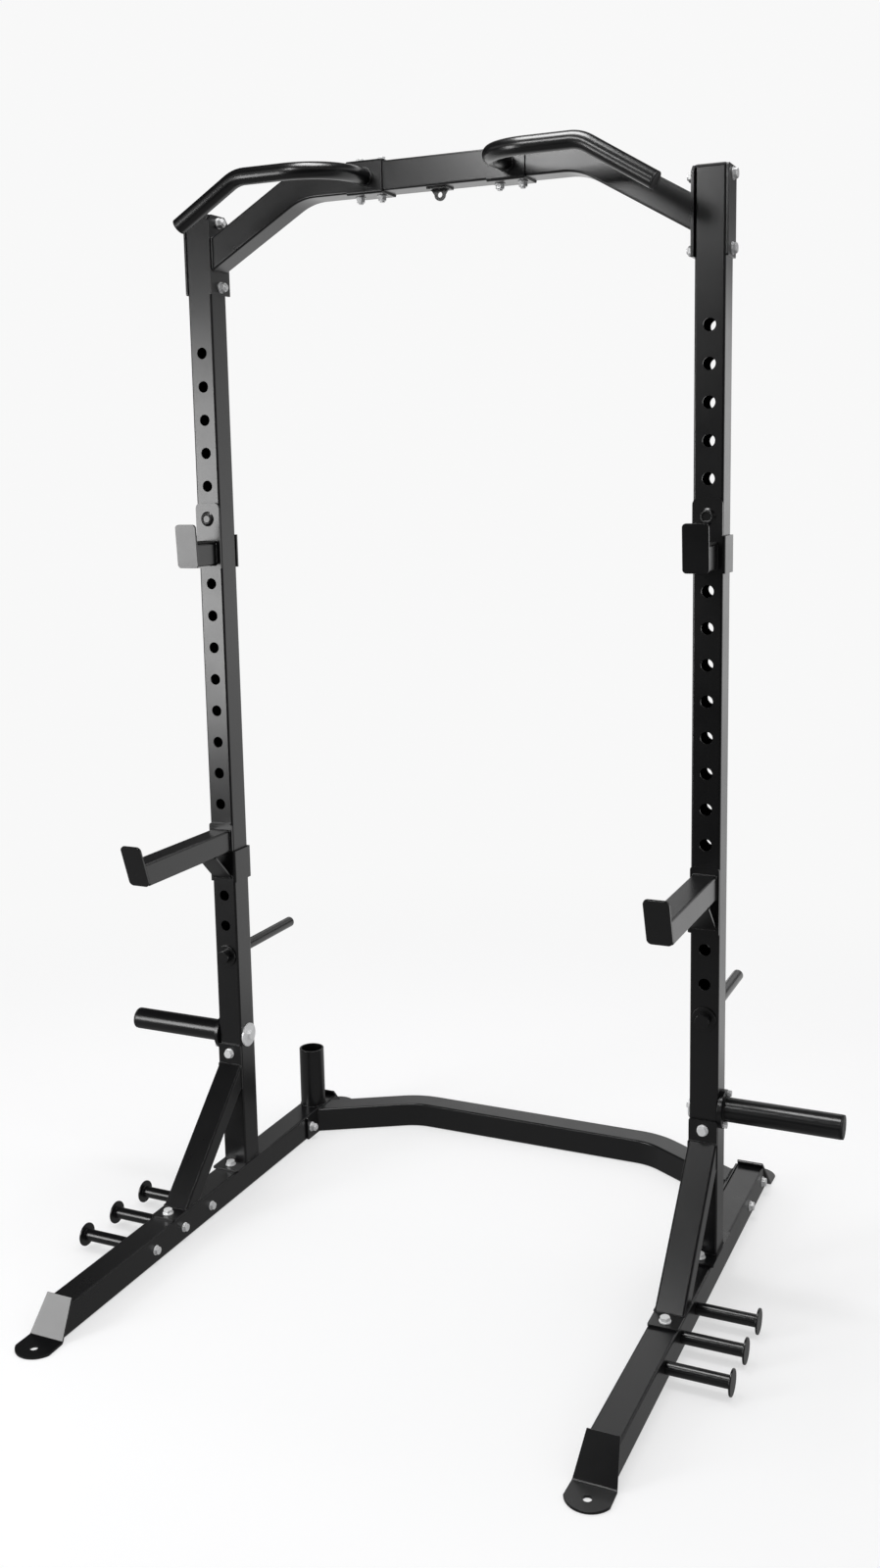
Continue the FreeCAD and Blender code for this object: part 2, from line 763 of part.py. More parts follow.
def lug():
    """The hanging lug under the beam: a flat flange with a drilled tab welded to it."""
    under = beam_z - tube / 2
    corner = Vector(-lug_flange_width / 2, upright_set_back - lug_flange_depth / 2, under - lug_flange)
    flange = Part.makeBox(lug_flange_width, lug_flange_depth, lug_flange, corner)
    y = upright_set_back - lug_tab / 2
    hole_z_place = under - lug_hole_drop
    shoulder = lug_tab_width / 2
    left = Vector(-lug_tip_radius, y, hole_z_place)
    right = Vector(lug_tip_radius, y, hole_z_place)
    high_left = Vector(-shoulder, y, under - lug_flange)
    high_right = Vector(shoulder, y, under - lug_flange)
    tip = Vector(0, y, hole_z_place - lug_tip_radius)
    edges = [Part.LineSegment(high_left, left).toShape(), Part.Arc(left, tip, right).toShape(),
             Part.LineSegment(right, high_right).toShape(), Part.LineSegment(high_right, high_left).toShape()]
    tab = Part.Face(Part.Wire(edges)).extrude(along_y * lug_tab)
    hole = rod(Vector(0, y, hole_z_place), along_y, lug_hole_radius, lug_tab)
    return flange.fuse(tab).cut(hole).removeSplitter().Solids[0]


def handle_points():
    """The centre line of a pull-up handle, from its root on the sleeve to its free end."""
    root_y = upright_set_back - sleeve_side / 2
    bar_y = upright_set_back - handle_reach
    bar_z = beam_z - handle_dip
    end_z = bar_z - (handle_end_x - handle_apex) * math.tan(math.radians(handle_droop_angle))
    return [Vector(sleeve_x, root_y, beam_z), Vector(sleeve_x, bar_y, bar_z),
            Vector(handle_apex, bar_y, bar_z), Vector(handle_end_x, bar_y, end_z)]


def handle():
    """A pull-up handle: a round tube bent out of the sleeve's front and down at its end.

    It leaves the sleeve a little downhill, so its root is cut off flush with the sleeve's face.
    """
    points = handle_points()
    heading = (points[1] - points[0]).normalize()
    root = points[0]
    points[0] = root - heading * handle_radius
    face = ring_face(points[0], heading, handle_radius, handle_wall)
    tube_run = bent(face, points, [handle_root_bend, handle_end_bend])
    waste = box(root - Vector(tube, 0, tube), root + Vector(tube, tube, tube))
    return tube_run.cut(waste)


def handle_end_cap():
    """The moulded cap in a handle's free end."""
    points = handle_points()
    axis = (points[-1] - points[-2]).normalize()
    rim = rod(points[-1], axis, handle_radius, handle_cap)
    plug_radius = handle_radius - handle_wall - cap_gap
    plug = disc_with_hole(points[-1], axis * -1, plug_radius, plug_radius - cap_plug_wall, handle_cap_plug)
    return rim.fuse(plug).removeSplitter().Solids[0]


# Bar hooks and spotter arms

def bracket(pin_z, side, plate_top, corner, past):
    """A bent plate: a front plate on the pin, and a strip that wraps one side of the upright.

    The side is 1 where the strip wraps the upright's outer side and -1 where it wraps the inner.
    Behind the upright the strip runs past its far side, or stops short of it.
    """
    near = rail_x - tube / 2 * side
    far_inner = rail_x + (tube / 2 + bracket_gap) * side
    far_outer = far_inner + plate * side
    strip_end = near - past * side
    rear_inner = back_y + bracket_gap
    rear_outer = rear_inner + plate
    low = pin_z - bracket_low
    points = [Vector(near, bracket_front_y, low), Vector(far_outer, bracket_front_y, low),
              Vector(far_outer, rear_outer, low), Vector(strip_end, rear_outer, low),
              Vector(strip_end, rear_inner, low), Vector(far_inner, rear_inner, low),
              Vector(far_inner, bracket_back_y, low), Vector(near, bracket_back_y, low)]
    outer_radius = bracket_bend_radius + plate
    radii = [0, outer_radius, outer_radius, 0, 0, bracket_bend_radius, bracket_bend_radius, 0]
    strip = sheet(points, radii, along_z * (bracket_low - bracket_high))
    high = pin_z + plate_top
    front = [Vector(inner_x, bracket_front_y, low), Vector(outer_x, bracket_front_y, low),
             Vector(outer_x, bracket_front_y, high), Vector(inner_x, bracket_front_y, high)]
    upper = sheet(front, [0, 0, corner, corner], along_y * plate)
    hole = rod(Vector(rail_x, bracket_front_y, pin_z), along_y, hole_radius, plate)
    return strip.fuse(upper).removeSplitter().cut(hole).Solids[0]


def hook_pin(pin_z):
    """A bar hook's pin, with the sloping weld ring that holds it in the front plate."""
    start = Vector(rail_x, bracket_front_y, pin_z)
    length = back_y + pin_tail - bracket_front_y
    ring = Part.makeCone(hook_pin_ring_radius, pin_radius, hook_pin_ring, start, along_y * -1)
    return rod(start, along_y, pin_radius, length).fuse(ring).removeSplitter().Solids[0]


def spotter_pin(pin_z):
    """A spotter arm's pin, flush with the front plate, which the arm covers."""
    start = Vector(rail_x, bracket_front_y, pin_z)
    return rod(start, along_y, pin_radius, back_y + pin_tail - bracket_front_y)


def leaning_plate(foot_point, width, height, corner, lean):
    """An upright plate with rounded corners that leans forward about the foot of its back face."""
    centre = foot_point + along_z * (height / 2)
    face = Part.Face(rectangle(centre, along_x, along_z, width, height, corner))
    return face.extrude(along_y * -plate).rotated(foot_point, along_x, lean)


def before_lean(foot_point, lean, size):
    """All that lies in front of a leaning plate's back face, near the plate."""
    block = box(foot_point - Vector(size, size, size), foot_point + Vector(size, 0, size))
    return block.rotated(foot_point, along_x, lean)


def lip_foot(pin_z):
    """The foot of the back face of a bar hook's lip."""
    return Vector(rail_x, bracket_front_y - hook_reach, pin_z - cradle_drop - lip_below)


def hook_lip(pin_z):
    """The lip plate that keeps the bar in the hook."""
    return leaning_plate(lip_foot(pin_z), lip_width, lip_height, lip_corner, lip_lean_angle)


def cradle(pin_z):
    """The square tube that carries the bar, between the front plate and the lip."""
    start = Vector(rail_x, bracket_front_y, pin_z - cradle_drop + cradle_height / 2)
    body = tube_face(start, along_x, along_z, cradle_width, cradle_height, wall)
    body = body.extrude(along_y * -(hook_reach + cradle_height))
    return body.cut(before_lean(lip_foot(pin_z), lip_lean_angle, hook_reach * 2)).Solids[0]


def hook_pad_strip(pin_z):
    """The rubber strip on top of the cradle."""
    top = pin_z - cradle_drop + cradle_height
    low = Vector(rail_x - cradle_width / 2, bracket_front_y - hook_reach - cradle_height, top)
    high = Vector(rail_x + cradle_width / 2, bracket_front_y, top + hook_pad)
    return box(low, high).cut(before_lean(lip_foot(pin_z), lip_lean_angle, hook_reach * 2)).Solids[0]


def tip_foot(pin_z):
    """The foot of the back face of a spotter arm's tip plate."""
    return Vector(rail_x, bracket_front_y - spotter_reach, pin_z - spotter_drop)


def spotter_tip(pin_z):
    """The leaning plate that closes a spotter arm and stops the bar."""
    return leaning_plate(tip_foot(pin_z), spotter_side, tip_height, tip_corner, tip_lean_angle)


def spotter_tube(pin_z):
    """The square tube that catches the bar."""
    start = Vector(rail_x, bracket_front_y, pin_z - spotter_drop + spotter_side / 2)
    body = tube_face(start, along_x, along_z, spotter_side, spotter_side, wall)
    body = body.extrude(along_y * -(spotter_reach + spotter_side))
    return body.cut(before_lean(tip_foot(pin_z), tip_lean_angle, spotter_reach)).Solids[0]


def spotter_strap(pin_z):
    """The slanting strap that props the arm from the foot of the front plate."""
    x = rail_x - spotter_side / 2
    under = pin_z - spotter_drop
    slant = math.hypot(strap_run, strap_drop)
    step_y = plate * slant / strap_drop
    step_z = plate * slant / strap_run
    points = [Vector(x, bracket_front_y, under - strap_drop), Vector(x, bracket_front_y - strap_run, under),
              Vector(x, bracket_front_y - strap_run + step_y, under),
              Vector(x, bracket_front_y, under - strap_drop + step_z)]
    return sheet(points, [0] * len(points), along_x * spotter_side)


# Bolts, washers and nuts of the whole frame

def frame_fixings():
    """Every hexagon bolt of the frame, its washers and its nut, in named groups."""
    found = {"base_plate_bolts": [], "frame_through_bolts": [], "lock_nuts": [], "weld_nuts": [],
             "bolt_washers": [], "rail_peg_bolts": [], "plate_horn_bolts": []}
    top = tube + plate
    short_places = [(Vector(rail_x, y, top), along_z * -1) for y in base_plate_bolt_ys() + [brace_bolt_y()]]
    short_places.append((Vector(rail_x, front_y - plate, brace_bolt_z()), along_y))
    for seat, drive in short_places:
        shaft, ring, welded = short_bolt(seat, drive)
        found["base_plate_bolts"] += pair(shaft)
        found["bolt_washers"] += pair(ring)
        found["weld_nuts"] += pair(welded)
    through_places = [(Vector(outer_x, y, tube / 2), along_x * -1, tube + plate, full_size)
                      for y in crossmember_bolt_ys()]
    through_places += [(Vector(outer_x + plate, upright_set_back, z), along_x * -1,
                        plate + tube + arm_plate, full_size) for z in arm_bolt_zs()]
    through_places += [(Vector(x, upright_set_back, beam_z + sleeve_side / 2), along_z * -1,
                        sleeve_side, slim_size) for x in sleeve_bolt_xs()]
    for seat, drive, grip, size in through_places:
        shaft, rings, locked = through_bolt(seat, drive, grip, size)
        found["frame_through_bolts"] += pair(shaft)
        for ring in rings:
            found["bolt_washers"] += pair(ring)
        found["lock_nuts"] += pair(locked)
    peg_bolt_length = slim_washer + tube + peg_bolt_reach
    peg_bolt = bolt(slim_bolt_radius, slim_bolt_flats, slim_bolt_head, peg_bolt_length)
    for y in rail_peg_ys():
        seat = Vector(inner_x, y, tube / 2)
        found["rail_peg_bolts"] += pair(turned_to(peg_bolt, seat - along_x * slim_washer, along_x))
        found["bolt_washers"] += pair(small_washer(seat, along_x * -1, slim_size))
    horn_bolts, horn_nut = horn_fixings()
    for fixing in horn_bolts:
        found["plate_horn_bolts"] += pair(fixing)
    found["weld_nuts"] += pair(horn_nut)
    return found


# The whole rack

def sided(nodes, name, shape):
    """Adds a right-hand piece and its left-hand copy under names of their own."""
    nodes[name + "_right"] = [shape]
    nodes[name + "_left"] = [mirrored(shape)]


def all_nodes():
    """Every sub-part by name, each a list of its solids."""
    nodes = {}
    sided(nodes, "base_rail", rail())
    front_foot = foot()
    nodes["front_feet"] = pair(front_foot)
    nodes["rear_feet"] = pair(front_foot.mirror(origin, along_y))
    nodes["upright_base_plates"] = pair(base_plate())
    sided(nodes, "brace", brace())
    nodes["brace_plates"] = [piece for flat in brace_plates() for piece in pair(flat)]
    nodes["rear_crossmember"] = [crossmember()]
    nodes["crossmember_end_plates"] = pair(end_plate())
    nodes["bar_post"] = [bar_post()]
    nodes["rail_pegs"] = [piece for peg in rail_pegs() for piece in pair(peg)]
    nodes["rail_peg_discs"] = [piece for disc in rail_peg_discs() for piece in pair(disc)]
    sided(nodes, "upright", upright())
    nodes["upright_caps"] = pair(upright_cap())
    sided(nodes, "band_peg", band_peg())
    nodes["band_peg_washers"] = pair(band_peg_washer())
    sided(nodes, "plate_horn", horn())
    nodes["plate_horn_flanges"] = pair(horn_flange_plate())
    nodes["plate_horn_caps"] = pair(horn_end_cap())
    nodes["plate_horn_washers"] = pair(horn_washer_plate())
    nodes["centre_tube"] = [centre_tube()]
    nodes["centre_sleeves"] = pair(sleeve())
    sided(nodes, "top_arm", top_arm())
    nodes["top_arm_plates"] = pair(arm_end_plate()) + pair(backing_plate())
    nodes["centre_lug"] = [lug()]
    sided(nodes, "pull_up_handle", handle())
    nodes["handle_caps"] = pair(handle_end_cap())
    hook_z = hole_z(hole_count - 1 - hook_hole_count_down)
    hook_plate = bracket(hook_z, 1, hook_plate_top, hook_plate_corner, hook_strip_past)
    sided(nodes, "hook_bracket", hook_plate)
    sided(nodes, "hook_pin", hook_pin(hook_z))
    sided(nodes, "hook_cradle", cradle(hook_z))
    sided(nodes, "hook_lip", hook_lip(hook_z))
    sided(nodes, "hook_pad", hook_pad_strip(hook_z))
    arm_z = hole_z(spotter_hole_count_up)
    spotter_plate = bracket(arm_z, -1, spotter_plate_top, spotter_plate_corner, -spotter_strip_short)
    sided(nodes, "spotter_bracket", spotter_plate)
    sided(nodes, "spotter_pin", spotter_pin(arm_z))
    sided(nodes, "spotter_arm", spotter_tube(arm_z))
    sided(nodes, "spotter_tip", spotter_tip(arm_z))
    sided(nodes, "spotter_strap", spotter_strap(arm_z))
    nodes.update(frame_fixings())
    return nodes


for node_name, solids in all_nodes().items():
    whole = solids[0] if len(solids) == 1 else Part.makeCompound(solids)
    whole.exportStep("parts/" + node_name + ".step")
    print(node_name, len(whole.Solids), whole.isValid(), round(whole.Volume))
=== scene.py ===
import bpy
import math
from mathutils import Matrix, Vector


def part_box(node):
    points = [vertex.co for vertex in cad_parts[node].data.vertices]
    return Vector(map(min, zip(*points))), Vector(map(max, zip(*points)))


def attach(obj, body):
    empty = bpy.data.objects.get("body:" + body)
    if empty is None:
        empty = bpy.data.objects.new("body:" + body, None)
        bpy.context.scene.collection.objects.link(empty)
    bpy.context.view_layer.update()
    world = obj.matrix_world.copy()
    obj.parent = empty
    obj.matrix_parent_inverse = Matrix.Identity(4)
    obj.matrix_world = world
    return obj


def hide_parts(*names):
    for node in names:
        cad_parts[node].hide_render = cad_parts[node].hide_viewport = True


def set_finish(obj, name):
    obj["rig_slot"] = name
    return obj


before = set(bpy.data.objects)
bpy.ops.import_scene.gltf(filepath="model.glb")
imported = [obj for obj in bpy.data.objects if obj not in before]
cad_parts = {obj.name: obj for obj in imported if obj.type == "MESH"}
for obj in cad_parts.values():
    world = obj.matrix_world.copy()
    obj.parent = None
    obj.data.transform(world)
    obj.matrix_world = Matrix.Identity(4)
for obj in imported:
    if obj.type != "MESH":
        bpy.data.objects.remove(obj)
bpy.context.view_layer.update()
bpy.ops.object.select_all(action="DESELECT")

# The studio: a pale floor that runs into a white backdrop, a large soft box at the front left and
# smaller ones overhead, in a room that is dark behind the camera, so that black paint stays
# black. The camera stands to the right of the rack, at the height of the bar hooks.
scene = bpy.context.scene
scene.view_settings.view_transform = "Standard"
camera_data = bpy.data.cameras.new("photo_camera")
camera = bpy.data.objects.new("photo_camera", camera_data)
scene.collection.objects.link(camera)
image_width = 898
image_height = 1600
focal_pixels = 1523.92
centre_pixel = (472.67, 715.93)
camera_data.sensor_fit = "VERTICAL"
camera_data.sensor_height = 36.0
camera_data.lens = focal_pixels * camera_data.sensor_height / image_height
camera_data.shift_x = (image_width / 2 - centre_pixel[0]) / image_height
camera_data.shift_y = (centre_pixel[1] - image_height / 2) / image_height
camera_data.clip_end = 100.0
camera_yaw = math.radians(-23.871)
camera_pitch = math.radians(-8.548)
camera_roll = math.radians(-0.956)
camera_place = Vector((1.3087, -2.7475, 1.6729))
ahead = Vector((math.sin(camera_yaw) * math.cos(camera_pitch),
                math.cos(camera_yaw) * math.cos(camera_pitch), math.sin(camera_pitch)))
level_right = Vector((math.cos(camera_yaw), -math.sin(camera_yaw), 0.0))
level_up = level_right.cross(ahead)
right = level_right * math.cos(camera_roll) + level_up * math.sin(camera_roll)
up = level_up * math.cos(camera_roll) - level_right * math.sin(camera_roll)
turn = camera.matrix_world.copy()
for row in range(3):
    turn[row][0] = right[row]
    turn[row][1] = up[row]
    turn[row][2] = -ahead[row]
turn.translation = camera_place
camera.matrix_world = turn
scene.camera = camera

# Near the rack the floor takes its shadows, and farther off it fades to plain white. Paint
# mirrors it in bands from the front to the back.
floor_size = 60.0
floor_z = -0.0005
floor_tone = (0.49, 0.49, 0.495, 1)
near_floor_lift = 0.52
far_floor_lift = 0.94
shadow_reach = 1.0
faded_reach = 3.2
bpy.ops.mesh.primitive_plane_add(size=floor_size, location=(0, 0, floor_z))
floor = bpy.context.object
floor.name = "studio_floor"
floor_paint = bpy.data.materials.new("studio_floor")
floor_paint.use_nodes = True
floor_nodes = floor_paint.node_tree.nodes
floor_links = floor_paint.node_tree.links
floor_shader = floor_nodes["Principled BSDF"]
floor_shader.inputs["Roughness"].default_value = 0.9
floor_shader.inputs["Specular IOR Level"].default_value = 0.0
floor_shader.inputs["Emission Color"].default_value = (1, 1, 1, 1)
floor_rays = floor_nodes.new("ShaderNodeLightPath")
floor_place = floor_nodes.new("ShaderNodeTexCoord")
floor_split = floor_nodes.new("ShaderNodeSeparateXYZ")
floor_links.new(floor_place.outputs["Object"], floor_split.inputs[0])
across_floor = floor_nodes.new("ShaderNodeMapRange")
across_floor.inputs["From Min"].default_value = -3.0
across_floor.inputs["From Max"].default_value = 12.0
floor_links.new(floor_split.outputs["Y"], across_floor.inputs["Value"])


def bands(nodes, places):
    """How bright a surface of the room is at each place along it, from 0 to 1."""
    ramp = nodes.new("ShaderNodeValToRGB")
    steps = ramp.color_ramp.elements
    for number, (place, level) in enumerate(places):
        step = steps[number] if number < 2 else steps.new(place)
        step.position = place
        step.color = (level, level, level, 1)
    return ramp


floor_mirrored = bands(floor_nodes, ((0.0, 0.02), (1.0, 1.0), (0.104, 0.20), (0.24, 0.22),
                                     (0.296, 0.78), (0.49, 0.75), (0.86, 1.0)))
floor_links.new(across_floor.outputs["Result"], floor_mirrored.inputs["Fac"])
mirrored = floor_nodes.new("ShaderNodeMath")
mirrored.operation = "MULTIPLY"
floor_links.new(floor_mirrored.outputs["Color"], mirrored.inputs[0])
floor_links.new(floor_rays.outputs["Is Glossy Ray"], mirrored.inputs[1])
floor_shown = floor_nodes.new("ShaderNodeMath")
floor_shown.operation = "ADD"
floor_shown.use_clamp = True
floor_links.new(floor_rays.outputs["Is Camera Ray"], floor_shown.inputs[0])
floor_links.new(floor_rays.outputs["Is Transmission Ray"], floor_shown.inputs[1])
from_middle = floor_nodes.new("ShaderNodeVectorMath")
from_middle.operation = "LENGTH"
floor_links.new(floor_place.outputs["Object"], from_middle.inputs[0])
far_off = floor_nodes.new("ShaderNodeMapRange")
far_off.interpolation_type = "SMOOTHSTEP"
far_off.inputs["From Min"].default_value = shadow_reach
far_off.inputs["From Max"].default_value = faded_reach
floor_links.new(from_middle.outputs["Value"], far_off.inputs["Value"])
plain = floor_nodes.new("ShaderNodeMath")
plain.operation = "MAXIMUM"
floor_links.new(far_off.outputs["Result"], plain.inputs[0])
floor_links.new(floor_rays.outputs["Is Glossy Ray"], plain.inputs[1])
floor_colour = floor_nodes.new("ShaderNodeMix")
floor_colour.data_type = "RGBA"
floor_colour.inputs["A"].default_value = floor_tone
floor_colour.inputs["B"].default_value = (0.0, 0.0, 0.0, 1)
floor_links.new(plain.outputs[0], floor_colour.inputs["Factor"])
floor_links.new(floor_colour.outputs["Result"], floor_shader.inputs["Base Color"])
floor_lift = floor_nodes.new("ShaderNodeMapRange")
floor_lift.inputs["To Min"].default_value = near_floor_lift
floor_lift.inputs["To Max"].default_value = far_floor_lift
floor_links.new(far_off.outputs["Result"], floor_lift.inputs["Value"])
floor_white = floor_nodes.new("ShaderNodeMath")
floor_white.operation = "MULTIPLY_ADD"
floor_links.new(floor_shown.outputs[0], floor_white.inputs[0])
floor_links.new(floor_lift.outputs["Result"], floor_white.inputs[1])
floor_links.new(mirrored.outputs[0], floor_white.inputs[2])
floor_links.new(floor_white.outputs[0], floor_shader.inputs["Emission Strength"])
floor.data.materials.append(floor_paint)

# Paint mirrors a room with bright and dark bands on its walls, and the camera sees a plain
# white backdrop in its place.
room_fill = 0.62
backdrop_tone = (0.94, 0.94, 0.94, 1)
world = bpy.data.worlds.new("studio")
scene.world = world
world.use_nodes = True
world_nodes = world.node_tree.nodes
world_links = world.node_tree.links
soft_fill = world_nodes["Background"]
soft_fill.inputs["Color"].default_value = (1, 1, 1, 1)
soft_fill.inputs["Strength"].default_value = room_fill
backdrop = world_nodes.new("ShaderNodeBackground")
backdrop.inputs["Color"].default_value = backdrop_tone
backdrop.inputs["Strength"].default_value = 1.0
rays = world_nodes.new("ShaderNodeLightPath")
direction = world_nodes.new("ShaderNodeTexCoord")
split = world_nodes.new("ShaderNodeSeparateXYZ")
world_links.new(direction.outputs["Generated"], split.inputs[0])

front_wall = bands(world_nodes, ((0.0, 0.02), (1.0, 0.02), (0.14, 0.02), (0.20, 0.5),
                                 (0.30, 0.5), (0.40, 0.02)))
back_wall = bands(world_nodes, ((0.0, 0.94), (1.0, 0.05), (0.09, 0.90), (0.14, 0.10),
                                (0.32, 0.10), (0.38, 0.90), (0.46, 0.85), (0.55, 0.42),
                                (0.60, 0.05)))
for wall in (front_wall, back_wall):
    world_links.new(split.outputs["Z"], wall.inputs["Fac"])
left_side = world_nodes.new("ShaderNodeMapRange")
left_side.inputs["From Min"].default_value = -0.55
left_side.inputs["From Max"].default_value = -0.38
left_side.inputs["To Min"].default_value = 0.03
world_links.new(split.outputs["X"], left_side.inputs["Value"])
back_and_left = world_nodes.new("ShaderNodeMix")
back_and_left.data_type = "RGBA"
back_and_left.blend_type = "MULTIPLY"
back_and_left.inputs["Factor"].default_value = 1.0
world_links.new(back_wall.outputs["Color"], back_and_left.inputs["A"])
world_links.new(left_side.outputs["Result"], back_and_left.inputs["B"])
right_side = world_nodes.new("ShaderNodeMapRange")
right_side.inputs["From Min"].default_value = 0.28
right_side.inputs["From Max"].default_value = 0.48
right_side.inputs["To Min"].default_value = 1.25
right_side.inputs["To Max"].default_value = 0.85
world_links.new(split.outputs["X"], right_side.inputs["Value"])
back_and_sides = world_nodes.new("ShaderNodeMix")
back_and_sides.data_type = "RGBA"
back_and_sides.blend_type = "MULTIPLY"
back_and_sides.inputs["Factor"].default_value = 1.0
world_links.new(back_and_left.outputs["Result"], back_and_sides.inputs["A"])
world_links.new(right_side.outputs["Result"], back_and_sides.inputs["B"])
behind = world_nodes.new("ShaderNodeMapRange")
behind.inputs["From Min"].default_value = -0.05
behind.inputs["From Max"].default_value = 0.25
world_links.new(split.outputs["Y"], behind.inputs["Value"])
room = world_nodes.new("ShaderNodeMix")
room.data_type = "RGBA"
world_links.new(behind.outputs["Result"], room.inputs["Factor"])
world_links.new(front_wall.outputs["Color"], room.inputs["A"])
world_links.new(back_and_sides.outputs["Result"], room.inputs["B"])
reflected = world_nodes.new("ShaderNodeBackground")
reflected.inputs["Strength"].default_value = 1.0
world_links.new(room.outputs["Result"], reflected.inputs["Color"])
glossy = world_nodes.new("ShaderNodeMixShader")
world_links.new(rays.outputs["Is Glossy Ray"], glossy.inputs["Fac"])
world_links.new(soft_fill.outputs[0], glossy.inputs[1])
world_links.new(reflected.outputs[0], glossy.inputs[2])
seen = world_nodes.new("ShaderNodeMath")
seen.operation = "MAXIMUM"
world_links.new(rays.outputs["Is Camera Ray"], seen.inputs[0])
world_links.new(rays.outputs["Is Transmission Ray"], seen.inputs[1])
shown = world_nodes.new("ShaderNodeMixShader")
world_links.new(seen.outputs[0], shown.inputs["Fac"])
world_links.new(glossy.outputs[0], shown.inputs[1])
world_links.new(backdrop.outputs[0], shown.inputs[2])
world_links.new(shown.outputs[0], world_nodes["World Output"].inputs["Surface"])

# The soft boxes. The two small ones only show as highlights on the paint.
for name, place, aim, width, height, power, lights_paint in (
        ("soft_box", (-2.33, -2.62, 1.40), (0, 0.1, 1.3), 1.0, 1.65, 44, True),
        ("high_box", (-0.62, -2.50, 3.05), (0.3, 0.1, 2.3), 0.7, 0.55, 18, False),
        ("handle_box", (0.05, -0.40, 3.60), (0.05, -0.399, 2.3), 1.0, 0.9, 38, False)):
    bpy.ops.object.light_add(type="AREA", location=place)
    box = bpy.context.object
    box.name = name
    box.data.shape = "RECTANGLE"
    box.data.size = width
    box.data.size_y = height
    box.data.energy = power
    box.visible_diffuse = lights_paint
    box.rotation_euler = (Vector(aim) - box.location).to_track_quat("-Z", "Y").to_euler()

# A bright card behind the rack, which shows only as a reflection on upper faces.
bpy.ops.mesh.primitive_plane_add(size=1, location=(-0.5, 2.6, 3.1), scale=(5.0, 1.0, 1.0),
                                 rotation=(math.radians(90), 0, 0))
high_card = bpy.context.object
high_card.name = "high_card"
card_paint = bpy.data.materials.new("high_card")
card_paint.use_nodes = True
card_shader = card_paint.node_tree.nodes["Principled BSDF"]
card_shader.inputs["Base Color"].default_value = (0, 0, 0, 1)
card_shader.inputs["Emission Color"].default_value = (1, 1, 1, 1)
card_shader.inputs["Emission Strength"].default_value = 1.0
high_card.data.materials.append(card_paint)
high_card.visible_camera = False
high_card.visible_diffuse = False
high_card.visible_shadow = False

# The top light gives the floor its soft shadows and isn't mirrored by the paint.
bpy.ops.object.light_add(type="AREA", location=(0.1, 0.3, 3.9))
top_light = bpy.context.object
top_light.name = "top_light"
top_light.data.shape = "RECTANGLE"
top_light.data.size = 1.8
top_light.data.size_y = 0.9
top_light.data.energy = 40
top_light.visible_glossy = False
bpy.ops.object.select_all(action="DESELECT")

# Floor rails: 60 mm square steel tube, cut and mitred, then powder coated satin black.
# The coat has a fine orange peel, a slightly uneven sheen and faint cloudy marks of handling.
surface = bpy.data.node_groups.new("uneven_surface", "ShaderNodeTree")
for socket_name, kind in (("Colour", "NodeSocketColor"), ("Sheen", "NodeSocketFloat"),
                          ("Peel Size", "NodeSocketFloat"), ("Peel Depth", "NodeSocketFloat"),
                          ("Unevenness", "NodeSocketFloat")):
    surface.interface.new_socket(socket_name, in_out="INPUT", socket_type=kind)
for socket_name, kind in (("Colour", "NodeSocketColor"), ("Roughness", "NodeSocketFloat"),
                          ("Normal", "NodeSocketVector")):
    surface.interface.new_socket(socket_name, in_out="OUTPUT", socket_type=kind)
given = surface.nodes.new("NodeGroupInput")
result = surface.nodes.new("NodeGroupOutput")
on_piece = surface.nodes.new("ShaderNodeTexCoord")
peel = surface.nodes.new("ShaderNodeTexNoise")
peel.inputs["Detail"].default_value = 2.0
surface.links.new(on_piece.outputs["Object"], peel.inputs["Vector"])
surface.links.new(given.outputs["Peel Size"], peel.inputs["Scale"])
bump = surface.nodes.new("ShaderNodeBump")
bump.inputs["Strength"].default_value = 1.0
surface.links.new(given.outputs["Peel Depth"], bump.inputs["Distance"])
surface.links.new(peel.outputs["Fac"], bump.inputs["Height"])
surface.links.new(bump.outputs["Normal"], result.inputs["Normal"])
cloud = surface.nodes.new("ShaderNodeTexNoise")
cloud.inputs["Scale"].default_value = 7.0
cloud.inputs["Detail"].default_value = 6.0
cloud.inputs["Roughness"].default_value = 0.62
surface.links.new(on_piece.outputs["Object"], cloud.inputs["Vector"])
centred = surface.nodes.new("ShaderNodeMath")
centred.operation = "SUBTRACT"
centred.inputs[1].default_value = 0.5
surface.links.new(cloud.outputs["Fac"], centred.inputs[0])
swing = surface.nodes.new("ShaderNodeMath")
swing.operation = "MULTIPLY"
surface.links.new(centred.outputs[0], swing.inputs[0])
surface.links.new(given.outputs["Unevenness"], swing.inputs[1])
rough = surface.nodes.new("ShaderNodeMath")
rough.operation = "ADD"
rough.use_clamp = True
surface.links.new(given.outputs["Sheen"], rough.inputs[0])
surface.links.new(swing.outputs[0], rough.inputs[1])
surface.links.new(rough.outputs[0], result.inputs["Roughness"])
brightness = surface.nodes.new("ShaderNodeMath")
brightness.operation = "MULTIPLY_ADD"
brightness.inputs[1].default_value = 3.0
brightness.inputs[2].default_value = 1.0
surface.links.new(swing.outputs[0], brightness.inputs[0])
tinted = surface.nodes.new("ShaderNodeVectorMath")
tinted.operation = "SCALE"
surface.links.new(given.outputs["Colour"], tinted.inputs[0])
surface.links.new(brightness.outputs[0], tinted.inputs["Scale"])
surface.links.new(tinted.outputs[0], result.inputs["Colour"])


